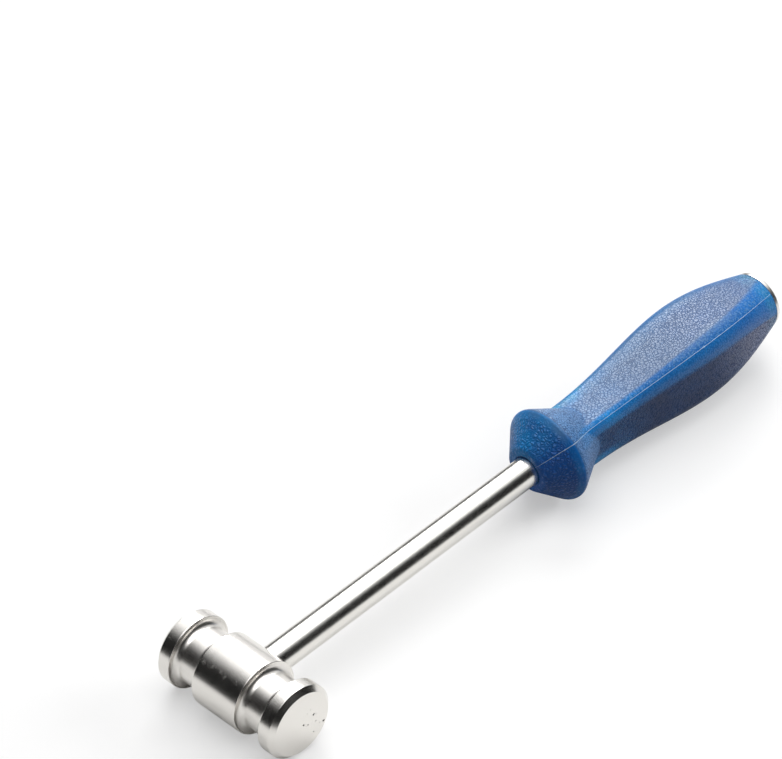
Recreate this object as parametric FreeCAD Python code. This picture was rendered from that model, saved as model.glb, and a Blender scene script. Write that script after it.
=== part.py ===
import FreeCAD, Part
import math
import os
from FreeCAD import Vector

# Surgical mallet: turned steel head, steel shaft, moulded grip and a riveted end plate.
# It is built with the head's axis along X and the shaft along +Y from the head's centre,
# then laid down as it rests: on the head's rims and barrel, and on the guard of the grip.
# All lengths are in millimetres.

# Head, one turned piece
head_diameter = 25.0
neck_diameter = 19.5
barrel_length = 18.6
groove_width = 10.2
rim_width = 6.0
face_chamfer = 1.6
edge_break = 0.3
groove_wall_flat = 0.15

# Pits that use has left in one striking face: across, up, width
face_pits = [
    (5.0, 0.3, 0.9),
    (8.6, -5.1, 0.9),
    (0.7, -1.0, 0.8),
    (2.4, -2.2, 0.6),
    (5.6, -2.9, 0.5),
    (4.3, -6.5, 0.5),
]
pit_depth_ratio = 0.35

# Shaft, one round bar from the head's bore to the end plate
shaft_diameter = 10.0
seat_depth = 17.5
seat_chamfer = 0.5
free_length = 111.5
fit_gap = 0.02

# Tang, the stretch of the bar inside the grip
tang_flats_width = 8.4
tang_front_land = 20.0
tang_rear_land = 12.0
spigot_diameter = 6.0
rivet_flare = 1.1

# Guard of the grip
nose_diameter = 15.6
nose_round = 2.0
nose_to_rim = 10.2
guard_diameter = 32.9
guard_rim_round = 1.6
guard_back_angle = 29.0
guard_blend = 5.0
entry_clearance = 0.35
entry_depth = 1.2

# Grip: rounded square sections, each a half width across the flats and a corner radius
rim_to_neck = 16.8
neck_half_width = 9.05
neck_corner = 2.9
neck_to_flare = 20.0
flare_half_width = 10.56
flare_corner = 3.5
flare_to_belly = 30.5
belly_half_width = 13.2
belly_corner = 5.6
belly_to_taper = 16.5
taper_half_width = 12.15
taper_corner = 7.0
taper_to_butt = 15.0
butt_half_width = 9.95
butt_corner = 9.6
butt_break = 0.35

# End plate
plate_diameter = 19.9
plate_thickness = 1.6
plate_rim_round = 0.8

# Places along the shaft, counted from the head's centre
head_radius = head_diameter / 2
neck_radius = neck_diameter / 2
shaft_radius = shaft_diameter / 2
spigot_radius = spigot_diameter / 2
seat_floor = head_radius - seat_depth
nose = head_radius + free_length
rim = nose + nose_to_rim
neck = rim + rim_to_neck
flare = neck + neck_to_flare
belly = flare + flare_to_belly
taper = belly + belly_to_taper
butt = taper + taper_to_butt
plate_face = butt + plate_thickness

# Share of the neck's half width at which the guard's back ends, inside the grip
buried_share = 0.75
# Slack when an edge is picked by its place
pick_slack = 0.01

ORIGIN = Vector(0, 0, 0)
AXIS_X = Vector(1, 0, 0)
AXIS_Y = Vector(0, 1, 0)


def rounded_outline(corners):
    """Closed outline in the XY plane, with tangent arcs; a corner is (x, y, radius)."""
    joints = []
    count = len(corners)
    for index, (x, y, radius) in enumerate(corners):
        corner = Vector(x, y, 0)
        if radius == 0:
            joints.append((corner, None, corner))
            continue
        back = Vector(*corners[index - 1][:2], 0) - corner
        ahead = Vector(*corners[(index + 1) % count][:2], 0) - corner
        back.normalize()
        ahead.normalize()
        half_angle = back.getAngle(ahead) / 2
        reach = radius / math.tan(half_angle)
        inward = (back + ahead).normalize()
        middle = corner + inward * (radius / math.sin(half_angle) - radius)
        joints.append((corner + back * reach, middle, corner + ahead * reach))
    edges = []
    for index, (start, middle, end) in enumerate(joints):
        if middle is not None:
            edges.append(Part.Arc(start, middle, end).toShape())
        following = joints[(index + 1) % count][0]
        edges.append(Part.makeLine(end, following))
    return Part.Wire(edges)


def turned(corners, axis):
    """Solid turned from a half outline about an axis through the head's centre."""
    return Part.Face(rounded_outline(corners)).revolve(ORIGIN, axis, 360)


def make_head(shaft_seat):
    """Double-faced head with two turned grooves, a blind cross bore and its worn face."""
    barrel_end = barrel_length / 2
    rim_start = barrel_end + groove_width
    face = rim_start + rim_width
    groove_round = head_radius - neck_radius - edge_break - groove_wall_flat
    half = [
        (barrel_end - edge_break, head_radius, 0),
        (barrel_end, head_radius - edge_break, 0),
        (barrel_end, neck_radius, groove_round),
        (rim_start, neck_radius, groove_round),
        (rim_start, head_radius - edge_break, 0),
        (rim_start + edge_break, head_radius, 0),
        (face - face_chamfer, head_radius, 0),
        (face, head_radius - face_chamfer, 0),
        (face, 0, 0),
    ]
    mirrored = [(-x, r, radius) for x, r, radius in reversed(half)]
    head = turned(mirrored + half, AXIS_X)
    head = head.cut(shaft_seat)
    for across, up, width in face_pits:
        head = head.cut(make_pit(face, across, up, width))
    return head


def make_pit(face, across, up, width):
    """Ball whose cap is a shallow pit of the given width in the striking face."""
    depth = width * pit_depth_ratio
    ball_radius = ((width / 2) ** 2 + depth ** 2) / (2 * depth)
    centre = Vector(face + ball_radius - depth, across, up)
    return Part.makeSphere(ball_radius, centre)


def make_bar(gap):
    """The shaft's form, grown by a gap all round; with no gap it is the shaft itself."""
    radius = shaft_radius + gap
    spigot = spigot_radius + gap
    flared = spigot + rivet_flare
    bar = turned(
        [
            (0, seat_floor, 0),
            (radius - seat_chamfer, seat_floor, 0),
            (radius, seat_floor + seat_chamfer, 0),
            (radius, butt, 0),
            (spigot, butt, 0),
            (spigot, plate_face - rivet_flare, 0),
            (flared, plate_face, 0),
            (0, plate_face, 0),
        ],
        AXIS_Y,
    )
    return bar.cut(make_tang_flats(gap))


def make_tang_flats(gap):
    """Two blocks that mill the flats which keep the grip from turning on the bar."""
    start = nose + tang_front_land + gap
    length = butt - tang_rear_land - gap - start
    inner = tang_flats_width / 2 + gap
    upper = Part.makeBox(
        shaft_diameter, length, shaft_radius, Vector(-shaft_radius, start, inner)
    )
    lower = upper.mirror(ORIGIN, Vector(0, 0, 1))
    return upper.fuse(lower)


def make_seat():
    """Blind bore in the head, from its floor to past the barrel."""
    bore_radius = shaft_radius + fit_gap
    length = head_diameter
    return Part.makeCylinder(bore_radius, length, Vector(0, seat_floor, 0), AXIS_Y)


def make_entry():
    """Shallow recess in the nose, which leaves a dark ring round the shaft."""
    return Part.makeCylinder(
        shaft_radius + entry_clearance, entry_depth, Vector(0, nose, 0), AXIS_Y
    )


def rounded_square(place, half_width, corner):
    """Section of the grip at a place along the shaft, flats square to X and Z."""
    flat = half_width - corner
    bulge = flat + corner * math.sqrt(0.5)
    edges = []
    for quarter in range(4):
        turn = FreeCAD.Rotation(AXIS_Y, -90 * quarter)
        side_start = turn.multVec(Vector(half_width, place, -flat))
        side_end = turn.multVec(Vector(half_width, place, flat))
        middle = turn.multVec(Vector(bulge, place, bulge))
        corner_end = turn.multVec(Vector(flat, place, half_width))
        edges.append(Part.makeLine(side_start, side_end))
        edges.append(Part.Arc(side_end, middle, corner_end).toShape())
    return Part.Wire(edges)


def make_grip_body():
    """Swelling grip lofted through its sections; the first lies hidden in the guard."""
    sections = [
        rounded_square(rim, neck_half_width, neck_corner),
        rounded_square(neck, neck_half_width, neck_corner),
        rounded_square(flare, flare_half_width, flare_corner),
        rounded_square(belly, belly_half_width, belly_corner),
        rounded_square(taper, taper_half_width, taper_corner),
        rounded_square(butt, butt_half_width, butt_corner),
    ]
    return Part.makeLoft(sections, True, False)


def guard_corner():
    """Radius and place of the sharp corner that the guard's rim round takes off."""
    centre = guard_diameter / 2 - guard_rim_round
    slope = math.radians(guard_back_angle)
    front = nose_diameter / 2
    back_at_nose = centre + (guard_rim_round + nose_to_rim * math.sin(slope)) / math.cos(slope)
    reach = math.hypot(centre - front, nose_to_rim)
    front_slope = math.atan2(centre - front, nose_to_rim) + math.asin(guard_rim_round / reach)
    past_nose = (back_at_nose - front) / (math.tan(front_slope) + math.tan(slope))
    return front + past_nose * math.tan(front_slope), nose + past_nose


def make_guard():
    """Round guard: flat nose, cone out to a rounded rim, and a cone back to the neck."""
    corner_radius, corner_place = guard_corner()
    buried = neck_half_width * buried_share
    run = (corner_radius - buried) / math.tan(math.radians(guard_back_angle))
    back = corner_place + run
    return turned(
        [
            (0, nose, 0),
            (nose_diameter / 2, nose, nose_round),
            (corner_radius, corner_place, guard_rim_round),
            (buried, back, 0),
            (0, back, 0),
        ],
        AXIS_Y,
    )


def hollow_edges(solid):
    """Edges where the guard's back runs into the flats and corners of the neck."""
    corner_place = guard_corner()[1]
    found = []
    for edge in solid.Edges:
        box = edge.BoundBox
        if box.YMin > corner_place + guard_rim_round and box.YMax < neck + rim_to_neck / 2:
            found.append(edge)
    return found


def butt_edges(solid):
    """Outer edges of the grip's end, where the end plate seats."""
    return [edge for edge in solid.Edges if edge.BoundBox.YMin > butt - pick_slack]


def make_handle():
    """Moulded grip with its guard, blended together and bored for the bar."""
    solid = make_grip_body().fuse(make_guard())
    solid = solid.makeFillet(guard_blend, hollow_edges(solid))
    solid = solid.makeChamfer(butt_break, butt_edges(solid))
    return solid.cut(make_bar(fit_gap)).cut(make_entry())


def make_end_plate():
    """Steel disc on the butt, countersunk for the end of the bar riveted into it."""
    radius = plate_diameter / 2
    disc = turned(
        [
            (0, butt, 0),
            (radius, butt, 0),
            (radius, plate_face, plate_rim_round),
            (0, plate_face, 0),
        ],
        AXIS_Y,
    )
    return disc.cut(make_bar(fit_gap))


def rest_tilt():
    """Angle that brings the guard's rim down to the level of the head's barrel."""
    centre_drop = guard_diameter / 2 - guard_rim_round
    arm = math.hypot(rim, centre_drop)
    return math.atan2(centre_drop, rim) - math.asin((head_radius - guard_rim_round) / arm)


def lay_down(solids):
    """Turns the mallet as it rests and puts the origin under the middle of its box."""
    placed = {}
    for name, solid in solids.items():
        resting = solid.copy()
        resting.rotate(ORIGIN, AXIS_X, math.degrees(rest_tilt()))
        placed[name] = resting
    box = Part.makeCompound(list(placed.values())).optimalBoundingBox(False)
    shift = Vector(-box.Center.x, -box.Center.y, -box.ZMin)
    for solid in placed.values():
        solid.translate(shift)
    return placed


pieces = {
    "head": make_head(make_seat()),
    "shaft": make_bar(0),
    "handle": make_handle(),
    "end_plate": make_end_plate(),
}

os.makedirs("parts", exist_ok=True)
for piece_name, piece in lay_down(pieces).items():
    piece.exportStep("parts/" + piece_name + ".step")
    print(piece_name, "solids", len(piece.Solids), "valid", piece.isValid())
    print("  volume", round(piece.Volume, 1), "box", piece.BoundBox)
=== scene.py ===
import math

import bmesh
import bpy
import numpy as np
from mathutils import Matrix, Vector


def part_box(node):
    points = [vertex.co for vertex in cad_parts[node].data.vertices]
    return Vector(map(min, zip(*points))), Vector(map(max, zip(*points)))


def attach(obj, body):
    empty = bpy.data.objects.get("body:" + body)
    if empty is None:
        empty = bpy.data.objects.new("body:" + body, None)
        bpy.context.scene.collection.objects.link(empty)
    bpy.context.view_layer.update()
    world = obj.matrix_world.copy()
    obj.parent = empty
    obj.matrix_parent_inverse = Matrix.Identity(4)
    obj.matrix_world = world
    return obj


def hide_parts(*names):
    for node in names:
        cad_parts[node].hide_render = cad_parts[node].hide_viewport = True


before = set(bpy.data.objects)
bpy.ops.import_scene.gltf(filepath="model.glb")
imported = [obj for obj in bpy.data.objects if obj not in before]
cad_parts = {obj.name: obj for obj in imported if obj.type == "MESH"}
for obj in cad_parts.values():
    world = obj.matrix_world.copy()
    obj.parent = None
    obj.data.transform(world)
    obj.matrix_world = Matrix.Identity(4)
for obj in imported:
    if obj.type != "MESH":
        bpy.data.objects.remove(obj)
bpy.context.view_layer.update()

# Surgical mallet. Lengths are in metres, written in millimetres times MM.
# Every piece is built in the mallet's own axes: origin at the head's centre, +X towards the
# worn striking face, +Y along the shaft to the butt, +Z up. Then its mesh is laid down at rest.
MM = 0.001

# Head
head_low, head_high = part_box("head")
head_centre = (head_low + head_high) / 2
head_radius = (head_high.z - head_low.z) / 2
face = (head_high.x - head_low.x) / 2
barrel_end = 9.3 * MM
groove_width = 10.2 * MM
rim_start = barrel_end + groove_width
neck_radius = 9.75 * MM
groove_round = 2.3 * MM
edge_round = 0.28 * MM
face_chamfer = 1.6 * MM
chamfer_round = 0.12 * MM

# Pits in the worn face: across, up, width, depth over width, all in millimetres but the last
face_pits = [
    (5.0, 0.3, 0.9, 0.35),
    (8.6, -5.1, 0.9, 0.35),
    (0.7, -1.0, 0.8, 0.30),
    (2.4, -2.2, 0.6, 0.30),
    (5.6, -2.9, 0.5, 0.30),
    (4.3, -6.5, 0.5, 0.30),
    (5.9, -0.1, 0.4, 0.18),
    (4.0, 3.0, 0.4, 0.18),
    (2.7, 2.3, 0.4, 0.15),
    (7.0, -4.6, 0.4, 0.18),
    (1.6, -2.1, 0.35, 0.18),
]
# Uneven edge of a pit: waves round it, their height, and how far they turn from one pit to the next
pit_waves = [
    (2, 0.22, 1.7),
    (3, 0.12, 1.0),
]
pit_hollow = 1.3
# Painted shade in the pits: how much darker a pit is painted for its depth
pit_shade_strength = 5

# Shaft
shaft_radius = 5.0 * MM
seat_floor = -5.0 * MM
seat_chamfer = 0.5 * MM
fit_gap = 0.02 * MM
tang_half_width = 4.2 * MM
tang_front_land = 20.0 * MM
tang_rear_land = 12.0 * MM
spigot_radius = 3.0 * MM
rivet_flare = 1.1 * MM
past_shaft = shaft_radius * 1.2

# Guard
nose = head_radius + 111.5 * MM
rim = nose + 10.2 * MM
nose_radius = 7.8 * MM
nose_round = 2.0 * MM
entry_clearance = 0.35 * MM
entry_depth = 1.2 * MM
entry_round = 0.12 * MM
guard_radius = 16.45 * MM
guard_rim_round = 1.6 * MM
guard_back_slope = math.radians(29.0)
guard_back_run = 13.0 * MM
guard_blend = 0.66 * MM

# Grip sections: place along the shaft from the guard's rim, half width, corner radius
grip_sections = [
    (0.0, 9.05, 2.9),
    (16.8, 9.05, 2.9),
    (36.8, 10.56, 3.5),
    (67.3, 13.2, 5.6),
    (83.8, 12.15, 7.0),
    (98.8, 9.95, 9.6),
]
butt = rim + 98.8 * MM
butt_break = 0.35 * MM

# End plate
plate_radius = 9.95 * MM
plate_face = butt + 1.6 * MM
plate_round = 0.8 * MM
plate_edge_round = 0.05 * MM

# Mesh fineness
head_segments = 320
shaft_segments = 192
plate_segments = 192
grip_quarter = 96
corner_bunching = 0.5
arc_step = math.radians(7.5)
least_arc_steps = 4
support = 0.05 * MM
support_room = 4 * support
face_ring_gap = 0.13 * MM
front_row_longest = 0.8 * MM
cone_row_step = 0.32 * MM
loft_row_step = 0.62 * MM
end_face_shares = (0.66, 0.33, 0.0)
entry_steps = 4
sliver = 0.001 * MM
face_slack = 0.0001 * MM
nearly_zero = 1e-9
crisp_angle = math.radians(35)
grip_crisp_angle = math.radians(40)

# Flash left by the mould's parting line, with a small blob where it was trimmed.
# Its waves are given in radians a millimetre.
flash_height = 0.09 * MM
flash_uneven = 0.03 * MM
flash_quick_wave = 0.9
flash_slow_wave = 0.37
flash_columns = 3
flash_guard_side = 0.35
blob_place = 195.0 * MM
blob_reach = 0.7 * MM

# Wear of the grip's skin, and the light and shade painted on it. A pair gives where a change starts and
# where it is complete.
# Along the shaft, counted from the guard's edge, from its rim and from the butt
front_to_back = (-0.3 * MM, 0.3 * MM)
# Painted glow on the neck and at the butt
neck_glow_in = (1.0 * MM, 6.0 * MM)
neck_glow_out = (18.0 * MM, 42.0 * MM)
low_edge_out = (12.0 * MM, 30.0 * MM)
near_wear_narrows = (28.0 * MM, 56.0 * MM)
# Painted highlight on the top flat fades out here
flat_highlight_out = (45.0 * MM, 70.0 * MM)
corner_glow_out = (66.0 * MM, 84.0 * MM)
butt_glow_in = (-9.0 * MM, -1.0 * MM)
# Painted sheen on the side flats, growing towards the butt
side_sheen_in = (-39.0 * MM, -6.0 * MM)
# Out from the axis, counted from the radius of the guard's edge and from the nose's radius
rim_band_in = (-2.6 * MM, -1.2 * MM)
nose_band_out = (-1.2 * MM, 0.6 * MM)
# How far the guard's back and a flat run into each other, on the top and bottom and at the sides
level_spread = 3.0 * MM
side_spread = 0.5 * MM
# Degrees that a corner has turned away from its flat
low_wear_out = (30, 75)
far_wear_out = (0, 50)
near_wear_end = 24
near_wear_narrowing = 10
# Painted glints fade out as a corner turns this far
glint_turn_out = (35, 65)
# Share of the way from a side flat's middle to its edge
side_edge_in = (0.55, 0.95)
# How much the skin faces left in the photograph (away from +X), up, down, or up and left
far_side_in = (0.2, 0.8)
left_rim_in = (0.3, 0.9)
top_rim_in = (0.7, 0.95)
cone_highlight_in = (-0.3, 0.8)
below_in = (0.3, 0.8)
facing_in = (0.2, 1.0)
facing_up = 0.87
facing_left = 0.5
# Strengths, where one is the most
# Scuff and painted sheen on the guard's back
cone_scuff_and_sheen = 0.7
# Painted glints on the side corners
side_glint = 0.3
level_grain = 0.6
side_grain = 0.7
corner_grain = 0.35
level_cone_grain = 0.95
side_cone_grain = 0.8
far_grain_loss = 0.45
nose_grain_loss = 0.6
rim_grain_loss = 0.8
# Strengths of the painted highlights on the guard and the top flat
rim_highlight_loss = 0.6
top_rim_highlight = 0.9
left_rim_highlight = 0.5
front_highlight = 0.15
flat_highlight = 0.5
flat_highlight_far = 0.65
# Strengths of the painted glow
worn_glow_loss = 0.72
butt_glow = 0.5
rim_glow = 0.5
cone_glow = 0.35
far_glow = 0.4
corner_glow = 0.3
neck_turquoise_glow = 0.8

# Noises in the materials: scale a millimetre, detail, roughness
tool_marks = (3.0, 3.0, 0.6)
soft_waves = (0.35, 2.0, 0.5)
handling = (1.3, 2.0, 0.6)
grit = (2.6, 2.0, 0.6)
grit_places = (0.35, 1.0, 0.5)
dust = (3.0, 2.0, 0.6)
wander = (0.8, 1.0, 0.5)
mottle = (0.11, 3.0, 0.55)
turquoise_patches = (0.22, 2.0, 0.5)
glow_patches = (0.16, 2.0, 0.5)
# Spans of a noise's value, and for some the span that it is carried to
middle_span = (0.3, 0.7)
grit_span = (0.55, 0.72)
grit_place_span = (0.46, 0.60)
turquoise_span = (0.35, 0.6, 0.2, 1.0)
glow_span = (0.35, 0.62, 0.5, 1.0)

# Steel
head_tone = (0.72, 0.70, 0.67)
shaft_tone = (0.73, 0.715, 0.685)
# Painted shade: colour of the pits' deepest hollows
pit_shade_tone = (0.10, 0.095, 0.085)
tool_mark_tone = 0.97
head_roughness = 0.235
shaft_roughness = 0.25
plate_roughness = 0.32
roughness_below = 0.015
roughness_above = 0.02
groove_roughness = 0.055
grit_roughness = 0.20
pit_roughness = 0.25
tool_mark_depth = 0.0008 * MM
soft_wave_depth = 0.003 * MM
handling_depth = 0.006 * MM
grit_depth = 0.02 * MM
# Groove walls, in millimetres from the head's radius, and its ends, from the start of the rims
groove_wall = (-0.7, -0.2)
groove_end = 0.1
# Rubbed line on the head: its angle from +Y towards +Z, and how far it fades out to each side
grit_angle = math.radians(128)
grit_band = (math.radians(0.5), math.radians(5))
grit_outermost = (-0.25, -0.1)

# Blue plastic: grain cells as scale a millimetre and width of the creases
leather_cells = (1.05, 0.18)
pebble_cells = (0.85, 0.42)
# Painted glints: light dots on the corners
glint_scale = 1.25
glint_fade = (0.18, 0.52)
wander_reach = 0.9
grain_depth = 0.13 * MM
dust_share = 0.10
grain_share = 0.6
guard_grain_share = 1.5
side_shade_grain_share = 2.0
# Painted shade in the grain's creases: its strength, and its share on the guard
crease_shade_strength = 0.9
guard_crease_shade_share = 0.4
glint_strength = 0.5
highlight_strength = 0.85
# How fully the scuff and its painted sheen cover the flats
scuff_and_sheen_cover = (0.80, 1.05)
crease_to_cell_roughness = (0.48, 0.34)
crease_to_cell_gloss = (0.5, 1.0)
clear_to_rubbed_gloss = (0.24, 0.54)
guard_gloss = 0.10
plastic_ior = 1.6
clear_blues = ((0.012, 0.128, 0.450), (0.018, 0.178, 0.520))
guard_blues = ((0.006, 0.100, 0.430), (0.009, 0.135, 0.530))
# Painted shade on the side flats, paler with painted sheen near the butt
side_shade_blues = ((0.024, 0.052, 0.150), (0.230, 0.265, 0.430))
# Painted glow: light through the thin plastic, light from the end plate and rim light
glow_blues = ((0.012, 0.265, 0.700), (0.040, 0.390, 0.540))
# Scuffed flats: greyish wear with painted sheen
scuffed_sheen_blue = (0.060, 0.132, 0.290)
# Painted highlights
highlight_blue = (0.150, 0.250, 0.410)
# Painted shade in the creases
crease_shade_blue = (0.004, 0.030, 0.110)
# Painted glints
glint_blue = (0.150, 0.320, 0.520)
flash_blue = (0.72, 0.88, 0.97)

# Stage
white = (1.0, 1.0, 1.0)
world_fill = (0.08, 0.08, 0.08)
floor_half = 6.0
floor_sink = 0.02 * MM
floor_seen = (0.52, 0.52, 0.52)
floor_glow = 0.46
floor_as_light = (0.22, 0.22, 0.22)
# The white sheet that steel mirrors: how far from the mallet's middle it starts and ends to darken into
# painted shade
sheet_edge = 0.25
sheet_end = 0.45
sheet_bright = (1.0, 1.0, 0.99)
sheet_painted_shade = (0.02, 0.02, 0.02)
# Softboxes: name, shape, azimuth, distance over the floor, height, width, length, radiance, mirrored
softboxes = [
    ("overhead", "ELLIPSE", 0, 0.0, 3.0, 3.46, 3.46, 2.35, True),
    ("rear", "RECTANGLE", 133, 1.9, 1.65, 1.45, 1.0, 6.8, True),
    ("side", "RECTANGLE", 60, 2.2, 1.0, 1.2, 1.0, 8.0, False),
]
cloth_dark = (0.004, 0.004, 0.004)
wall_distance = 2.4
wall_columns = 144
wall_rows = 48
# Dark wall: azimuth, elevation up to which it is solid, elevation at which it has faded out
wall_fades = [
    (0, 39, 63),
    (60, 39, 63),
    (88, 0, 24),
    (104, -6, -1),
    (134, -6, -1),
    (144, 10, 30),
    (164, 14, 38),
    (186, 39, 65),
    (240, 39, 65),
    (360, 39, 63),
]

# Camera, in the mallet's axes: its eye, then in degrees its azimuth, dip and roll
camera_eye = Vector((660.409, -524.617, 861.370)) * MM
camera_azimuth = 138.0185
camera_dip = 41.5047
camera_roll = -4.6711
camera_lens = 184.26
camera_sensor = 36.0
camera_clip = (0.01, 50)


def rest_tilt():
    """Angle that brings the guard's rim down to the level of the head's barrel."""
    centre_drop = guard_radius - guard_rim_round
    arm = math.hypot(rim, centre_drop)
    return math.atan2(centre_drop, rim) - math.asin((head_radius - guard_rim_round) / arm)


lay_down = Matrix.Translation(head_centre) @ Matrix.Rotation(rest_tilt(), 4, "X")


def level_heading(azimuth):
    """Level direction at an azimuth in degrees, counted from +X towards +Y."""
    return Vector((math.cos(math.radians(azimuth)), math.sin(math.radians(azimuth)), 0))


def smooth_step(low, high, value):
    """Rises smoothly from nothing at the low value to one at the high value."""
    share = min(max((value - low) / (high - low), 0.0), 1.0)
    return share * share * (3 - 2 * share)


def rise(limits, value, start=0.0):
    """Rises smoothly from nothing to one between a pair of limits, counted from the start."""
    return smooth_step(start + limits[0], start + limits[1], value)


# Outlines

def rounded(corners, closed=False):
    """Points along an outline of corners (along, out, round), arcs and supports included."""
    count = len(corners)
    points = []
    for index, (along, out, radius) in enumerate(corners):
        here = Vector((along, out))
        ends = not closed and index in (0, count - 1)
        if radius == 0 or ends:
            points.append([here])
            continue
        back = (Vector(corners[index - 1][:2]) - here).normalized()
        ahead = (Vector(corners[(index + 1) % count][:2]) - here).normalized()
        half = back.angle(ahead) / 2
        reach = radius / math.tan(half)
        centre = here + (back + ahead).normalized() * (radius / math.sin(half))
        start = here + back * reach - centre
        end = here + ahead * reach - centre
        turn = math.pi - 2 * half
        side = math.copysign(1, start.x * end.y - start.y * end.x)
        steps = max(least_arc_steps, math.ceil(turn / arc_step))
        arc = []
        for step in range(steps + 1):
            angle = side * turn * step / steps
            cos, sin = math.cos(angle), math.sin(angle)
            arc.append(centre + Vector((start.x * cos - start.y * sin, start.x * sin + start.y * cos)))
        points.append(arc)
    outline = []
    for index, arc in enumerate(points):
        outline.extend(arc)
        if not closed and index == count - 1:
            break
        following = points[(index + 1) % count][0]
        run = following - arc[-1]
        if run.length > support_room:
            outline.append(arc[-1] + run.normalized() * support)
            outline.append(following - run.normalized() * support)
    return outline


def mesh_object(name, vertices, faces):
    """New smooth-shaded object in the mallet's axes."""
    mesh = bpy.data.meshes.new(name)
    mesh.from_pydata(vertices, [], faces)
    mesh.validate()
    mesh.update()
    mesh.shade_smooth()
    piece = bpy.data.objects.new(name, mesh)
    bpy.context.scene.collection.objects.link(piece)
    return piece


def lathe(name, outline, axis, segments, closed=False):
    """Surface turned about X or Y; a point on the axis becomes a single vertex."""
    vertices = []
    rings = []
    for point in outline:
        on_axis = abs(point.y) < nearly_zero
        ring = []
        for segment in range(1 if on_axis else segments):
            angle = 2 * math.pi * segment / segments
            across, up = point.y * math.cos(angle), point.y * math.sin(angle)
            ring.append(len(vertices))
            vertices.append((point.x, across, up) if axis == "X" else (up, point.x, across))
        rings.append(ring)
    faces = []
    pairs = list(zip(rings, rings[1:]))
    if closed:
        pairs.append((rings[-1], rings[0]))
    for first, second in pairs:
        for segment in range(segments):
            ahead = segment + 1
            corners = [first[segment % len(first)], first[ahead % len(first)],
                       second[ahead % len(second)], second[segment % len(second)]]
            faces.append([v for i, v in enumerate(corners) if v != corners[i - 1]])
    piece = mesh_object(name, vertices, faces)
    outward(piece)
    return piece


def outward(piece):
    """Turns all faces of a closed mesh outward."""
    work = bmesh.new()
    work.from_mesh(piece.data)
    bmesh.ops.recalc_face_normals(work, faces=work.faces)
    work.to_mesh(piece.data)
    work.free()


def cut(piece, cutter):
    """Subtracts the cutter from the piece and deletes it."""
    bpy.context.view_layer.update()
    modifier = piece.modifiers.new("cut", "BOOLEAN")
    modifier.operation = "DIFFERENCE"
    modifier.solver = "EXACT"
    modifier.object = cutter
    depsgraph = bpy.context.evaluated_depsgraph_get()
    result = bpy.data.meshes.new_from_object(piece.evaluated_get(depsgraph))
    piece.modifiers.clear()
    old = piece.data
    piece.data = result
    bpy.data.meshes.remove(old)
    spent = cutter.data
    bpy.data.objects.remove(cutter)
    bpy.data.meshes.remove(spent)


def shade(piece, angle):
    """Smooth shading, with edges sharper than the angle kept crisp."""
    piece.data.shade_smooth()
    piece.data.set_sharp_from_angle(angle=angle)


# Head

def pit_depth(across, up):
    """Depth of the worn face at a point in metres, and how dark the painted shade in its pit is."""
    deepest, pit_shade = 0.0, 0.0
    for number, (pit_across, pit_up, width, ratio) in enumerate(face_pits):
        dy, dz = across - pit_across * MM, up - pit_up * MM
        distance = math.hypot(dy, dz)
        if distance > width * MM:
            continue
        angle = math.atan2(dz, dy)
        uneven = 1.0
        for waves, height, turned in pit_waves:
            uneven += height * math.sin(waves * angle + number * turned)
        share = distance / (width * MM / 2 * uneven)
        if share < 1:
            hollow = (1 - share * share) ** pit_hollow
            deepest = max(deepest, width * MM * ratio * hollow)
            pit_shade = max(pit_shade, min(hollow * ratio * pit_shade_strength, 1.0))
    return deepest, pit_shade


def make_head():
    """Turned head with grooves, micro-rounded edges, pitted face and the blind cross bore."""
    half = [
        (barrel_end, head_radius, edge_round),
        (barrel_end, neck_radius, groove_round),
        (rim_start, neck_radius, groove_round),
        (rim_start, head_radius, edge_round),
        (face - face_chamfer, head_radius, chamfer_round),
        (face, head_radius - face_chamfer, chamfer_round),
    ]
    mirrored = [(-along, out, radius) for along, out, radius in reversed(half)]
    outline = rounded([(-face, 0, 0)] + mirrored + half + [(face, 0, 0)])
    # Close rings on the worn face, for its pits, in place of the support point beside its middle
    outline.pop(-2)
    flat = outline[-2].y
    rings = int(flat / face_ring_gap)
    fine = [Vector((face, flat * (1 - ring / rings))) for ring in range(1, rings)]
    outline = outline[:-1] + fine + outline[-1:]
    piece = lathe("head_turned", outline, "X", head_segments)
    # The mark pit carries the painted shade of the pits
    mark = piece.data.attributes.new("pit", "FLOAT", "POINT")
    for vertex in piece.data.vertices:
        if vertex.co.x > face - face_slack:
            depth, pit_shade = pit_depth(vertex.co.y, vertex.co.z)
            vertex.co.x -= depth
            mark.data[vertex.index].value = pit_shade
    bore_radius = shaft_radius + fit_gap
    past_head = head_radius * 2
    bore = rounded([
        (seat_floor, 0, 0),
        (seat_floor, bore_radius, 0),
        (past_head, bore_radius, 0),
        (past_head, 0, 0),
    ])
    cut(piece, lathe("bore_cutter", bore, "Y", shaft_segments))
    shade(piece, crisp_angle)
    return piece


# Shaft

def make_shaft():
    """Round bar with a chamfered seat end, milled tang flats and the riveted spigot."""
    outline = rounded([
        (seat_floor, 0, 0),
        (seat_floor, shaft_radius - seat_chamfer, 0),
        (seat_floor + seat_chamfer, shaft_radius, 0),
        (butt, shaft_radius, 0),
        (butt, spigot_radius, 0),
        (plate_face - rivet_flare, spigot_radius, 0),
        (plate_face, spigot_radius + rivet_flare, 0),
        (plate_face, 0, 0),
    ])
    piece = lathe("shaft_bar", outline, "Y", shaft_segments)
    start = nose + tang_front_land
    end = butt - tang_rear_land
    for side in (1, -1):
        low, high = sorted((side * tang_half_width, side * past_shaft))
        cut(piece, box_object("flat_cutter", (-past_shaft, start, low), (past_shaft, end, high)))
    shade(piece, crisp_angle)
    return piece


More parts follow.
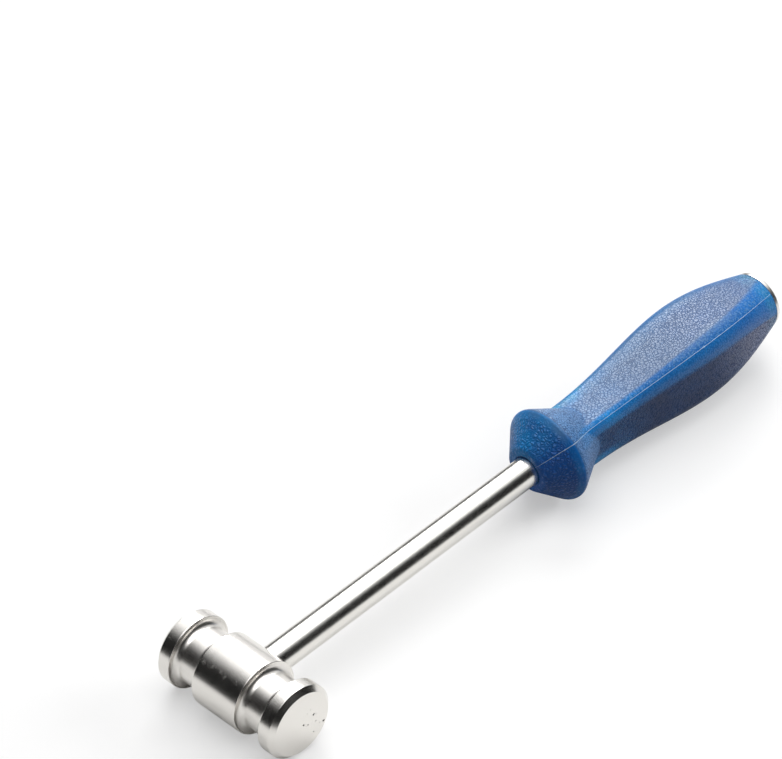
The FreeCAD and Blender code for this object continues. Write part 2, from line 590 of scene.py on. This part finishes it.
def box_object(name, low, high):
    """Plain closed box between two corners, for cutting."""
    vertices = [(x, y, z) for x in (low[0], high[0]) for y in (low[1], high[1]) for z in (low[2], high[2])]
    faces = [(0, 1, 3, 2), (4, 6, 7, 5), (0, 4, 5, 1), (2, 3, 7, 6), (0, 2, 6, 4), (1, 5, 7, 3)]
    piece = mesh_object(name, vertices, faces)
    outward(piece)
    return piece


# Grip

def spline(knots, values):
    """Natural cubic through the knots, as a function of place."""
    count = len(knots)
    steps = np.diff(knots)
    system = np.eye(count)
    right = np.zeros(count)
    for i in range(1, count - 1):
        system[i, i - 1:i + 2] = steps[i - 1], 2 * (steps[i - 1] + steps[i]), steps[i]
        right[i] = 6 * ((values[i + 1] - values[i]) / steps[i] - (values[i] - values[i - 1]) / steps[i - 1])
    bend = np.linalg.solve(system, right)

    def value(place):
        i = int(np.clip(np.searchsorted(knots, place) - 1, 0, count - 2))
        a, b = knots[i + 1] - place, place - knots[i]
        h = steps[i]
        cubic = (bend[i] * a ** 3 + bend[i + 1] * b ** 3) / (6 * h)
        line = (values[i] / h - bend[i] * h / 6) * a + (values[i + 1] / h - bend[i + 1] * h / 6) * b
        return cubic + line

    return value


grip_places = [rim + place * MM for place, _, _ in grip_sections]
grip_half_width = spline(grip_places, [width * MM for _, width, _ in grip_sections])
grip_corner = spline(grip_places, [corner * MM for _, _, corner in grip_sections])


def square_radius(place, angle):
    """Distance from the axis to the rounded square section, at an angle from +X."""
    half_width, corner = grip_half_width(place), grip_corner(place)
    flat = half_width - corner
    fold = angle % (math.pi / 2)
    fold = min(fold, math.pi / 2 - fold)
    if half_width * math.tan(fold) <= flat:
        return half_width / math.cos(fold)
    middle = flat * (math.cos(fold) + math.sin(fold))
    return middle + math.sqrt(middle * middle - 2 * flat * flat + corner * corner)


def square_turn(place, angle):
    """Share of the half flat passed, and the degrees that the normal has turned from the flat's."""
    half_width, corner = grip_half_width(place), grip_corner(place)
    flat = half_width - corner
    fold = angle % (math.pi / 2)
    fold = min(fold, math.pi / 2 - fold)
    across = square_radius(place, angle) * math.sin(fold)
    turn = math.asin(min(max((across - flat) / corner, 0.0), 1.0))
    return across / flat, math.degrees(turn)


def guard_corner():
    """Place and radius of the sharp corner that the guard's rim round takes off."""
    centre = guard_radius - guard_rim_round
    length = rim - nose
    sloped = guard_rim_round + length * math.sin(guard_back_slope)
    back_at_nose = centre + sloped / math.cos(guard_back_slope)
    reach = math.hypot(centre - nose_radius, length)
    front_slope = math.atan2(centre - nose_radius, length) + math.asin(guard_rim_round / reach)
    past = (back_at_nose - nose_radius) / (math.tan(front_slope) + math.tan(guard_back_slope))
    return nose + past, nose_radius + past * math.tan(front_slope)


guard_edge, guard_edge_radius = guard_corner()


def cone_radius(place):
    """Radius of the guard's sloping back, carried on into the grip."""
    return guard_edge_radius - (place - guard_edge) * math.tan(guard_back_slope)


def smooth_larger(first, second, blend):
    """The larger of two radii, with a fillet where they meet."""
    near = max(blend - abs(first - second), 0) / blend
    return max(first, second) + near * near * blend / 4


def skin_radius(place, angle):
    """Radius of the grip behind the guard's rim: back cone, fillet and rounded square."""
    return smooth_larger(cone_radius(place), square_radius(place, angle), guard_blend)


def grip_angles():
    """Angles round the grip, closer together at its four corners."""
    angles = []
    for quarter in range(4):
        for step in range(grip_quarter):
            share = step / grip_quarter
            bunched = share + corner_bunching * math.sin(2 * math.pi * share) / (2 * math.pi)
            angles.append((quarter + bunched) * math.pi / 2)
    return angles


def grip_rows():
    """Rows of the grip's outer skin as (place, radius or None for the lofted stretch)."""
    outline = rounded([
        (nose, shaft_radius + entry_clearance + entry_round, 0),
        (nose, nose_radius, nose_round),
        (guard_edge, guard_edge_radius, guard_rim_round),
        (guard_edge + guard_back_run, guard_edge_radius - guard_back_run * math.tan(guard_back_slope), 0),
    ])
    rows = [(point.x, point.y) for point in outline[:-2]]
    rows = divide_long(rows, front_row_longest)
    back_start = rows[-1][0]
    last = butt - butt_break - support
    place = back_start
    while place < last:
        place += cone_row_step if place < back_start + guard_back_run else loft_row_step
        if place < last:
            rows.append((place, None))
    rows.append((last, None))
    return rows


def divide_long(rows, longest):
    """Splits the long steps between (place, radius) rows evenly."""
    divided = [rows[0]]
    for (place_a, radius_a), (place_b, radius_b) in zip(rows, rows[1:]):
        parts = max(1, math.ceil(math.hypot(place_b - place_a, radius_b - radius_a) / longest))
        for part in range(1, parts + 1):
            share = part / parts
            divided.append((place_a + (place_b - place_a) * share, radius_a + (radius_b - radius_a) * share))
    return divided


def bore_outline(angles):
    """Rings of the grip's bore from the butt to the nose, with the two flats that hold the tang."""
    radius = shaft_radius + fit_gap
    height = tang_half_width + fit_gap
    start = nose + tang_front_land + fit_gap
    end = butt - tang_rear_land - fit_gap
    plain = [radius for _ in angles]
    flats = [min(radius, height / max(abs(math.sin(angle)), nearly_zero)) for angle in angles]
    stops = [(end + sliver, plain), (end, flats), (start, flats), (start - sliver, plain)]
    stops.append((nose + entry_depth, plain))
    return [[(place, r) for r in radii] for place, radii in stops]


def make_handle():
    """Moulded grip: guard, lofted grip and through bore, as one closed skin."""
    angles = grip_angles()
    rings = []
    for place, radius in grip_rows():
        rings.append([(place, radius if radius is not None else skin_radius(place, a)) for a in angles])
    outer_rows = len(rings)
    end_radii = [square_radius(butt, a) for a in angles]
    rings.append([(butt - butt_break, r) for r in end_radii])
    rings.append([(butt, r - butt_break) for r in end_radii])
    rings.append([(butt, r - butt_break - support) for r in end_radii])
    bore_out = shaft_radius + fit_gap
    for share in end_face_shares:
        rings.append([(butt, bore_out + (r - butt_break - bore_out) * share) for r in end_radii])
    rings.extend(bore_outline(angles))
    recess = shaft_radius + entry_clearance
    rings.append([(nose + entry_depth, recess) for _ in angles])
    for step in range(entry_steps):
        turn = math.pi / 2 * step / entry_steps
        place = nose + entry_round * (1 - math.sin(turn))
        rings.append([(place, recess + entry_round * (1 - math.cos(turn))) for _ in angles])
    vertices = []
    for ring in rings:
        for angle, (place, radius) in zip(angles, ring):
            vertices.append((radius * math.cos(angle), place, radius * math.sin(angle)))
    count = len(angles)
    faces = []
    for row in range(len(rings)):
        following = (row + 1) % len(rings)
        for column in range(count):
            ahead = (column + 1) % count
            faces.append((row * count + column, row * count + ahead,
                          following * count + ahead, following * count + column))
    piece = mesh_object("grip_moulded", vertices, faces)
    outward(piece)
    mark_skin(piece, outer_rows, angles)
    raise_seam(piece, outer_rows, count)
    shade(piece, grip_crisp_angle)
    return piece


class Spot:
    """A point of the grip's skin: where it lies, how worn it is there and what light and shade is painted on
    it.
    """

    def __init__(self, skin, angle):
        self.place = skin.y
        out = math.hypot(skin.x, skin.z)
        self.low = skin.z < 0
        # On the top or the bottom of the grip, not on one of its sides
        self.level = abs(math.sin(angle)) > math.sqrt(0.5)
        self.up = skin.z / out
        self.left = -skin.x / out
        self.far_side = rise(far_side_in, self.left)
        self.facing = rise(facing_in, (facing_up * skin.z - facing_left * skin.x) / out)
        self.back = rise(front_to_back, self.place, guard_edge)
        self.front = 1 - self.back
        self.neck = rise(neck_glow_in, self.place, rim)
        self.neck *= 1 - rise(neck_glow_out, self.place, rim)
        self.butt = rise(butt_glow_in, self.place, butt)
        self.near_rim = rise(rim_band_in, out, guard_edge_radius)
        self.near_nose = 1 - rise(nose_band_out, out, nose_radius)
        lofted = max(self.place, rim)
        spread = level_spread if self.level else side_spread
        self.cone = smooth_step(-spread, spread, cone_radius(self.place) - square_radius(lofted, angle))
        self.share, self.turn = square_turn(lofted, angle)
        self.worn = self.worn_share(skin.x > 0)

    def worn_share(self, near):
        """One where a flat is scuffed and carries painted sheen, or painted shade on a side, nothing where a
        corner is still clear.
        """
        if self.low:
            worn = 1 - rise(low_wear_out, self.turn)
        elif near:
            narrowed = near_wear_narrowing * rise(near_wear_narrows, self.place, rim)
            worn = 1 - smooth_step(0, near_wear_end - narrowed, self.turn)
        else:
            worn = 1 - rise(far_wear_out, self.turn)
        if not self.level:
            bright_edge = 1 - rise(low_edge_out, self.place, rim) if self.low else 1
            worn *= 1 - bright_edge * rise(side_edge_in, self.share)
        return worn

    def fold(self):
        """Where a corner carries painted glints, light dots beside its flat."""
        fold = (1 - self.worn) * (1 - rise(glint_turn_out, self.turn)) * (1 if self.level else side_glint)
        return self.back * fold * (1 - self.cone)

    def painted_highlight(self):
        """Painted highlight: pale light on the guard's back, rim and front, and on the top flat behind it.
        """
        top = rise(top_rim_in, self.up)
        left = rise(left_rim_in, self.left) * self.front
        on_cone = self.back * self.cone * rise(cone_highlight_in, self.up)
        on_cone *= 1 - rim_highlight_loss * self.near_rim * (1 - top)
        on_top_rim = top_rim_highlight * self.near_rim * top
        on_left_rim = left_rim_highlight * self.near_rim * left
        on_front = front_highlight * self.front * self.facing
        on_flat = self.back * (1 - rise(flat_highlight_out, self.place, rim))
        on_flat *= min(flat_highlight + flat_highlight_far * self.far_side, 1.0)
        on_flat *= self.worn if self.level and not self.low else 0
        return max(on_cone, on_top_rim, on_left_rim, on_front, on_flat)

    def grain(self):
        """Depth of the leather grain."""
        flat = level_grain if self.level else side_grain
        leather = flat * self.worn + corner_grain * (1 - self.worn)
        on_cone = level_cone_grain if self.level else side_cone_grain
        behind = leather * (1 - self.cone) + on_cone * self.cone
        behind *= 1 - far_grain_loss * self.far_side
        ahead = (1 - nose_grain_loss * self.near_nose) * (1 - rim_grain_loss * self.near_rim)
        return self.back * behind + self.front * ahead

    def painted_glow(self):
        """Painted azure glow, standing in for light through the thin plastic, light from the end plate and
        rim light: on the neck, at the butt, on the guard, the far side and the upper corner.
        """
        on_neck = self.neck * min(1 - worn_glow_loss * self.worn + self.far_side, 1.0)
        on_butt = self.butt * butt_glow
        on_rim = self.near_rim * self.front * rim_glow
        on_cone = cone_glow * self.cone * self.back
        on_far_side = far_glow * self.far_side * self.back
        on_front = self.front * self.facing
        on_corner = 0 if self.level or self.low else corner_glow * self.back * (1 - self.worn)
        on_corner *= 1 - rise(corner_glow_out, self.place, rim)
        return max(on_neck, on_butt, on_rim, on_cone, on_far_side, on_front, on_corner)

    def painted_turquoise_glow(self):
        """Where the painted glow turns turquoise: the butt, and the far side and bottom of the neck."""
        below = rise(below_in, -self.up)
        return max(self.butt, neck_turquoise_glow * self.far_side * self.neck, neck_turquoise_glow * below * self.neck)

    def marks(self):
        """All that the plastic reads here."""
        return {
            # Scuff with painted sheen
            "scuff_and_sheen": self.back * (self.worn * (1 - self.cone) + cone_scuff_and_sheen * self.cone),
            # Painted shade on the side flats
            "painted_side_shade": 0.0 if self.level else self.back * self.worn * (1 - self.cone),
            # Painted sheen on the side flats near the butt
            "pale": rise(side_sheen_in, self.place, butt),
            # Painted highlights
            "painted_highlight": self.painted_highlight(),
            # Painted glints on the corners
            "fold": self.fold(),
            "grained": self.grain(),
            "guard": self.front,
            # Painted glow
            "painted_glow": self.painted_glow(),
            "painted_turquoise_glow": self.painted_turquoise_glow(),
        }


def mark_skin(piece, outer_rows, angles):
    """Marks where the skin is scuffed, how deep its grain is, and where sheen, shade, highlights, glints and
    glow are painted.
    """
    mesh = piece.data
    skin = [mesh.vertices[index].co for index in range(outer_rows * len(angles))]
    marks = [Spot(point, angles[index % len(angles)]).marks() for index, point in enumerate(skin)]
    inner = [0.0] * (len(mesh.vertices) - len(skin))
    for name in marks[0]:
        values = [mark[name] for mark in marks] + inner
        mesh.attributes.new(name, "FLOAT", "POINT").data.foreach_set("value", values)


def raise_seam(piece, outer_rows, count):
    """Lifts the thin flash that the mould's parting line has left, and marks it."""
    mesh = piece.data
    mesh.update()
    normals = [vertex.normal.copy() for vertex in mesh.vertices]
    mark = mesh.attributes.new("flash", "FLOAT", "POINT")
    for row in range(outer_rows):
        place = mesh.vertices[row * count].co.y
        blob = 1 - smooth_step(0, blob_reach, abs(place - blob_place))
        uneven = math.sin(place / MM * flash_quick_wave) * math.sin(place / MM * flash_slow_wave + 1)
        height = flash_height + flash_uneven * uneven
        for middle in (grip_quarter // 2, grip_quarter // 2 + 2 * grip_quarter):
            for offset in range(-flash_columns, flash_columns + 1):
                share = 1.0 if offset == 0 else blob * (1 - abs(offset) / (flash_columns + 1))
                if abs(offset) == 1 and place < rim:
                    share = max(share, flash_guard_side)
                if share > 0:
                    index = row * count + middle + offset
                    mesh.vertices[index].co += normals[index] * height * share
                    mark.data[index].value = share


# End plate

def make_end_plate():
    """Turned disc with a rounded rim, countersunk for the riveted spigot."""
    hole = spigot_radius + fit_gap
    outline = rounded([
        (butt, hole, 0),
        (butt, plate_radius, plate_edge_round),
        (plate_face, plate_radius, plate_round),
        (plate_face, hole + rivet_flare, 0),
        (plate_face - rivet_flare, hole, 0),
    ], closed=True)
    piece = lathe("plate_turned", outline, "Y", plate_segments, closed=True)
    shade(piece, crisp_angle)
    return piece


# Materials

class Nodes:
    """Small helper to write the node tree of a material or world, one node a line."""

    def __init__(self, owner, output="ShaderNodeOutputMaterial"):
        self.owner = owner
        self.owner.use_nodes = True
        self.tree = self.owner.node_tree
        self.tree.nodes.clear()
        self.output = self.tree.nodes.new(output)

    def add(self, kind, *in_order, settings=None, **by_name):
        """New node, its sockets fed in order or by name, with _ for a space."""
        node = self.tree.nodes.new(kind)
        for key, value in (settings or {}).items():
            setattr(node, key, value)
        for socket, value in zip(node.inputs, in_order):
            self.feed(socket, value)
        for key, value in by_name.items():
            self.feed(node.inputs[key.replace("_", " ")], value)
        return node

    def feed(self, socket, value):
        """Links a socket, or sets it. A colour is given without its alpha."""
        if isinstance(value, bpy.types.NodeSocket):
            self.tree.links.new(value, socket)
        elif socket.type == "RGBA":
            socket.default_value = [*value, 1.0]
        else:
            socket.default_value = value

    def math(self, operation, first, second=0.0, clamp=False):
        settings = {"operation": operation, "use_clamp": clamp}
        return self.add("ShaderNodeMath", first, second, settings=settings).outputs[0]

    def vector(self, operation, *items):
        return self.add("ShaderNodeVectorMath", *items, settings={"operation": operation}).outputs

    def blend(self, factor, first, second):
        """Colour between the first at nothing and the second at one."""
        node = self.add("ShaderNodeMix", factor, settings={"data_type": "RGBA"})
        self.feed(node.inputs[6], first)
        self.feed(node.inputs[7], second)
        return node.outputs[2]

    def range(self, value, from_low, from_high, to_low, to_high, kind="LINEAR"):
        """The value carried from one span to another and held inside it."""
        spans = (from_low, from_high, to_low, to_high)
        node = self.add("ShaderNodeMapRange", value, *spans, settings={"interpolation_type": kind})
        return node.outputs[0]

    def place(self):
        """Position in the mallet's axes, in millimetres."""
        where = self.add("ShaderNodeTexCoord").outputs["Object"]
        settings = {"vector_type": "TEXTURE"}
        turned = (rest_tilt(), 0, 0)
        scale = (MM, MM, MM)
        mapping = self.add("ShaderNodeMapping", settings=settings, Vector=where, Location=head_centre,
                           Rotation=turned, Scale=scale)
        return mapping.outputs[0]

    def noise(self, vector, scale, detail, roughness, output="Fac"):
        """Soft random value from nothing to one, or a random colour."""
        node = self.add("ShaderNodeTexNoise", Vector=vector, Scale=scale, Detail=detail, Roughness=roughness)
        return node.outputs[output]

    def cells(self, feature, vector, scale):
        """Distance to the edge or the middle of random cells."""
        node = self.add("ShaderNodeTexVoronoi", settings={"feature": feature}, Vector=vector, Scale=scale,
                        Randomness=1.0)
        return node.outputs["Distance"]

    def mark(self, name):
        """Value of a mark that the mesh carries."""
        return self.add("ShaderNodeAttribute", settings={"attribute_name": name}).outputs["Fac"]

    def total(self, *values):
        """All the values added."""
        result = values[0]
        for value in values[1:]:
            result = self.math("ADD", result, value)
        return result

    def product(self, *values):
        """All the values multiplied."""
        result = values[0]
        for value in values[1:]:
            result = self.math("MULTIPLY", result, value)
        return result

    def bump(self, height, distance, normal=None):
        """Normal raised by a height between nothing and one, on top of another bump."""
        node = self.add("ShaderNodeBump", Height=height, Distance=distance, Strength=1.0)
        if normal is not None:
            self.feed(node.inputs["Normal"], normal)
        return node.outputs[0]

    def finish(self, shader):
        self.tree.links.new(shader.outputs[0], self.output.inputs[0])
        return self.owner


def steel(name, axis, tone, roughness, worn_head=False):
    """Satin stainless steel with faint tool marks round the axis and light handling marks."""
    nodes = Nodes(bpy.data.materials.new(name))
    whole = nodes.place()
    split = nodes.add("ShaderNodeSeparateXYZ", whole).outputs
    along = split[axis]
    across, up = [split[i] for i in range(3) if i != axis]
    out = nodes.math("SQRT", nodes.total(nodes.product(across, across), nodes.product(up, up)))
    ring = nodes.add("ShaderNodeCombineXYZ", along, out).outputs[0]
    marks = nodes.noise(ring, *tool_marks)
    soft = nodes.noise(whole, *soft_waves)
    rough = nodes.range(soft, *middle_span, roughness - roughness_below, roughness + roughness_above)
    normal = nodes.bump(marks, tool_mark_depth)
    normal = nodes.bump(soft, soft_wave_depth, normal)
    normal = nodes.bump(nodes.noise(whole, *handling), handling_depth, normal)
    colour = nodes.blend(marks, [part * tool_mark_tone for part in tone], tone)
    if worn_head:
        grooves = in_groove(nodes, along, out)
        rubbed = worn_specks(nodes, whole, split, out)
        pit = nodes.mark("pit")
        normal = nodes.bump(rubbed, grit_depth, normal)
        # Painted shade darkens the pits
        colour = nodes.blend(pit, colour, pit_shade_tone)
        rough = nodes.total(rough, nodes.product(grooves, groove_roughness),
                            nodes.product(rubbed, grit_roughness), nodes.product(pit, pit_roughness))
    shader = nodes.add("ShaderNodeBsdfPrincipled", Base_Color=colour, Metallic=1.0, Roughness=rough,
                       Normal=normal)
    return nodes.finish(shader)


def in_groove(nodes, along, out):
    """One inside the head's grooves, which are harder to polish than the rest."""
    low, high = [head_radius / MM + limit for limit in groove_wall]
    inner = nodes.range(out, low, high, 1.0, 0.0)
    ends = nodes.math("LESS_THAN", nodes.math("ABSOLUTE", along), rim_start / MM + groove_end)
    return nodes.product(inner, ends)


def worn_specks(nodes, whole, split, out):
    """Faint uneven rubbing along the head, where it has lain on other tools."""
    angle = nodes.math("ARCTAN2", split[2], split[1])
    off = nodes.math("ABSOLUTE", nodes.math("SUBTRACT", angle, grit_angle))
    band = nodes.range(off, *grit_band, 1.0, 0.0)
    low, high = [head_radius / MM + limit for limit in grit_outermost]
    outermost = nodes.range(out, low, high, 0.0, 1.0)
    grains = nodes.range(nodes.noise(whole, *grit), *grit_span, 0.0, 1.0)
    chosen = nodes.range(nodes.noise(whole, *grit_places), *grit_place_span, 0.0, 1.0)
    return nodes.product(grains, band, chosen, outermost)


def creased(nodes, where, scale, crease):
    """Leather grain: cells parted by creases, one on a cell and nothing down in a crease."""
    return nodes.range(nodes.cells("DISTANCE_TO_EDGE", where, scale), 0.0, crease, 0.0, 1.0, "SMOOTHSTEP")


def blue_plastic():
    """Moulded plastic: leathery grain, scuffed greyish flats with painted sheen, painted shade, highlights,
    glints and glow, clear blue corners, pale flash.
    """
    nodes = Nodes(bpy.data.materials.new("blue_plastic_grained"))
    whole = nodes.place()
    guard, painted_side_shade, scuff_and_sheen = nodes.mark("guard"), nodes.mark("painted_side_shade"), nodes.mark("scuff_and_sheen")
    grained = nodes.mark("grained")

    # Grain, whose cells bend with a slow wander
    drift = nodes.noise(whole, *wander, "Color")
    bend = nodes.vector("MULTIPLY_ADD", drift, (wander_reach, wander_reach, wander_reach), whole)[0]
    leather = nodes.product(creased(nodes, bend, *leather_cells), nodes.math("SUBTRACT", 1.0, guard))
    pebble = nodes.product(creased(nodes, bend, *pebble_cells), guard)
    grain = nodes.total(leather, pebble)
    height = nodes.total(grain, nodes.product(nodes.noise(whole, *dust), dust_share))
    share = nodes.total(nodes.product(guard, guard_grain_share), nodes.product(painted_side_shade, side_shade_grain_share),
                        grain_share)
    normal = nodes.bump(nodes.product(height, grained, share), grain_depth)

    # Clear skin, the guard's deeper blue, then the scuffed flats with their painted sheen, and painted shade
    # on the side flats, paler with painted sheen near the butt
    soft = nodes.noise(whole, *mottle)
    colour = nodes.blend(guard, nodes.blend(soft, *clear_blues), nodes.blend(soft, *guard_blues))
    # Painted shade on the side flats, paler with painted sheen near the butt
    side = nodes.blend(nodes.mark("pale"), *side_shade_blues)
    cover = nodes.product(scuff_and_sheen, nodes.range(soft, *middle_span, *scuff_and_sheen_cover))
    colour = nodes.blend(cover, colour, nodes.blend(painted_side_shade, scuffed_sheen_blue, side))
    # Painted highlights on the guard and the top flat
    colour = nodes.blend(nodes.product(nodes.mark("painted_highlight"), highlight_strength), colour, highlight_blue)

    # Painted azure glow in patches, turquoise where it is marked so
    turquoise = nodes.range(nodes.noise(whole, *turquoise_patches), *turquoise_span)
    glow_colour = nodes.blend(nodes.product(nodes.mark("painted_turquoise_glow"), turquoise), *glow_blues)
    patch = nodes.range(nodes.noise(whole, *glow_patches), *glow_span)
    colour = nodes.blend(nodes.product(nodes.mark("painted_glow"), patch), colour, glow_colour)

    # Painted shade in the creases, painted glints as light dots on the corners, and the pale flash
    crease_shade = nodes.math("SUBTRACT", 1.0, grain)
    softer = nodes.range(guard, 0.0, 1.0, 1.0, guard_crease_shade_share)
    colour = nodes.blend(nodes.product(crease_shade, grained, softer, crease_shade_strength), colour, crease_shade_blue)
    glint_tops = nodes.range(nodes.cells("F1", bend, glint_scale), *glint_fade, 1.0, 0.0)
    colour = nodes.blend(nodes.product(glint_tops, nodes.mark("fold"), glint_strength), colour, glint_blue)
    flash = nodes.mark("flash")
    colour = nodes.blend(nodes.product(flash, flash), colour, flash_blue)

    # Rougher in the creases, glossier where it is rubbed
    rough = nodes.range(grain, 0.0, 1.0, *crease_to_cell_roughness)
    rubbed = nodes.math("SUBTRACT", scuff_and_sheen, painted_side_shade, clamp=True)
    gloss = nodes.range(rubbed, 0.0, 1.0, *clear_to_rubbed_gloss)
    gloss = nodes.total(gloss, nodes.product(guard, guard_gloss))
    sheen = nodes.product(nodes.range(grain, 0.0, 1.0, *crease_to_cell_gloss), gloss)
    shader = nodes.add("ShaderNodeBsdfPrincipled", Base_Color=colour, Roughness=rough, IOR=plastic_ior,
                       Specular_IOR_Level=sheen, Normal=normal)
    return nodes.finish(shader)


def floor_surface():
    """Pale floor: white to the camera with a light shadow, pale near the mallet in reflections and painted
    dark further out, dim as a light.
    """
    nodes = Nodes(bpy.data.materials.new("floor_pale"))
    path = nodes.add("ShaderNodeLightPath").outputs
    camera = path["Is Camera Ray"]
    mirrored = nodes.math("MAXIMUM", path["Is Glossy Ray"], path["Is Transmission Ray"])
    where = nodes.add("ShaderNodeTexCoord").outputs["Object"]
    near = nodes.range(nodes.vector("LENGTH", where)["Value"], sheet_edge, sheet_end, 1.0, 0.0)
    # Painted shade: the floor that steel mirrors darkens away from the mallet
    sheet = nodes.blend(near, sheet_painted_shade, sheet_bright)
    colour = nodes.blend(mirrored, floor_as_light, sheet)
    colour = nodes.blend(camera, colour, floor_seen)
    base = nodes.add("ShaderNodeBsdfDiffuse", Color=colour)
    glow = nodes.add("ShaderNodeEmission", Color=white, Strength=nodes.product(camera, floor_glow))
    return nodes.finish(nodes.add("ShaderNodeAddShader", base.outputs[0], glow.outputs[0]))


def wall_surface():
    """Dark matt cloth that the mark "cover" fades away."""
    nodes = Nodes(bpy.data.materials.new("wall_dark"))
    cloth = nodes.add("ShaderNodeBsdfDiffuse", Color=cloth_dark).outputs[0]
    clear = nodes.add("ShaderNodeBsdfTransparent").outputs[0]
    return nodes.finish(nodes.add("ShaderNodeMixShader", nodes.mark("cover"), clear, cloth))


def make_world():
    """White for the camera, reflections and glass; a low even fill for the rest."""
    world = bpy.data.worlds.new("studio")
    nodes = Nodes(world, "ShaderNodeOutputWorld")
    path = nodes.add("ShaderNodeLightPath").outputs
    seen = nodes.math("MAXIMUM", path["Is Camera Ray"], path["Is Glossy Ray"])
    seen = nodes.math("MAXIMUM", seen, path["Is Transmission Ray"])
    nodes.finish(nodes.add("ShaderNodeBackground", nodes.blend(seen, world_fill, white)))
    bpy.context.scene.world = world


# Stage

def stage_object(name, vertices, faces, material):
    """New object of the stage."""
    mesh = bpy.data.meshes.new(name)
    mesh.from_pydata(vertices, [], faces)
    mesh.materials.append(material)
    piece = bpy.data.objects.new(name, mesh)
    bpy.context.scene.collection.objects.link(piece)
    return piece


def make_floor():
    """Square floor, a hair below the mallet."""
    corners = [(-1, -1), (1, -1), (1, 1), (-1, 1)]
    vertices = [(x * floor_half, y * floor_half, -floor_sink) for x, y in corners]
    stage_object("floor", vertices, [(0, 1, 2, 3)], floor_surface())


def wall_cover(azimuth, elevation):
    """How solid the dark wall is in a direction, given in degrees."""
    azimuths = [fade[0] for fade in wall_fades]
    low = np.interp(azimuth, azimuths, [fade[1] for fade in wall_fades])
    high = np.interp(azimuth, azimuths, [fade[2] for fade in wall_fades])
    return 1 - smooth_step(low, high, elevation)


def make_wall():
    """Dark wall round the stage, fading out upward and left open towards the rear softbox."""
    top = max(fade[2] for fade in wall_fades)
    vertices, covers, faces = [], [], []
    for column in range(wall_columns):
        azimuth = 360 * column / wall_columns
        for row in range(wall_rows + 1):
            elevation = top * row / wall_rows
            foot = level_heading(azimuth) * wall_distance
            height = wall_distance * math.tan(math.radians(elevation))
            vertices.append((foot.x, foot.y, height))
            covers.append(wall_cover(azimuth, elevation))
    tall = wall_rows + 1
    for column in range(wall_columns):
        here = column * tall
        ahead = (column + 1) % wall_columns * tall
        for row in range(wall_rows):
            faces.append((here + row, ahead + row, ahead + row + 1, here + row + 1))
    wall = stage_object("wall", vertices, faces, wall_surface())
    wall.data.attributes.new("cover", "FLOAT", "POINT").data.foreach_set("value", covers)
    wall.visible_camera = False


def softbox(name, shape, azimuth, away, height, width, length, radiance, mirrored):
    """Area lamp aimed at the mallet, whose face has the given radiance, mirrored in steel or not."""
    area = width * length * (math.pi / 4 if shape == "ELLIPSE" else 1)
    lamp = bpy.data.lights.new(name, "AREA")
    lamp.shape = shape
    lamp.size = width
    lamp.size_y = length
    lamp.energy = radiance * math.pi * area
    centre = level_heading(azimuth) * away + Vector((0, 0, height))
    piece = bpy.data.objects.new(name, lamp)
    piece.location = centre
    piece.rotation_euler = (-centre).to_track_quat("-Z", "Y").to_euler()
    piece.visible_camera = False
    piece.visible_glossy = mirrored
    bpy.context.scene.collection.objects.link(piece)


def make_camera():
    """Camera at the photograph's viewing angle."""
    data = bpy.data.cameras.new("photo_view")
    data.lens = camera_lens
    data.sensor_width = camera_sensor
    data.sensor_fit = "HORIZONTAL"
    data.clip_start, data.clip_end = camera_clip
    piece = bpy.data.objects.new("photo_view", data)
    bpy.context.scene.collection.objects.link(piece)
    dip = math.radians(camera_dip)
    forward = level_heading(camera_azimuth) * math.cos(dip) - Vector((0, 0, math.sin(dip)))
    roll = Matrix.Rotation(math.radians(camera_roll), 4, "Z")
    turn = forward.to_track_quat("-Z", "Y").to_matrix().to_4x4() @ roll
    piece.matrix_world = lay_down @ Matrix.Translation(camera_eye) @ turn
    bpy.context.scene.camera = piece


def dress(piece, node, material):
    """Gives a piece its material, puts it in its node's place and hands it to the body."""
    piece.data.transform(lay_down)
    piece.data.materials.clear()
    piece.data.materials.append(material)
    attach(piece, "root")
    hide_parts(node)


make_world()
make_floor()
make_wall()
for box in softboxes:
    softbox(*box)
make_camera()

dress(make_head(), "head", steel("steel_head", 0, head_tone, head_roughness, worn_head=True))
dress(make_shaft(), "shaft", steel("steel_shaft", 1, shaft_tone, shaft_roughness))
dress(make_handle(), "handle", blue_plastic())
dress(make_end_plate(), "end_plate", steel("steel_plate", 1, head_tone, plate_roughness))

bpy.context.scene.view_settings.view_transform = "Standard"
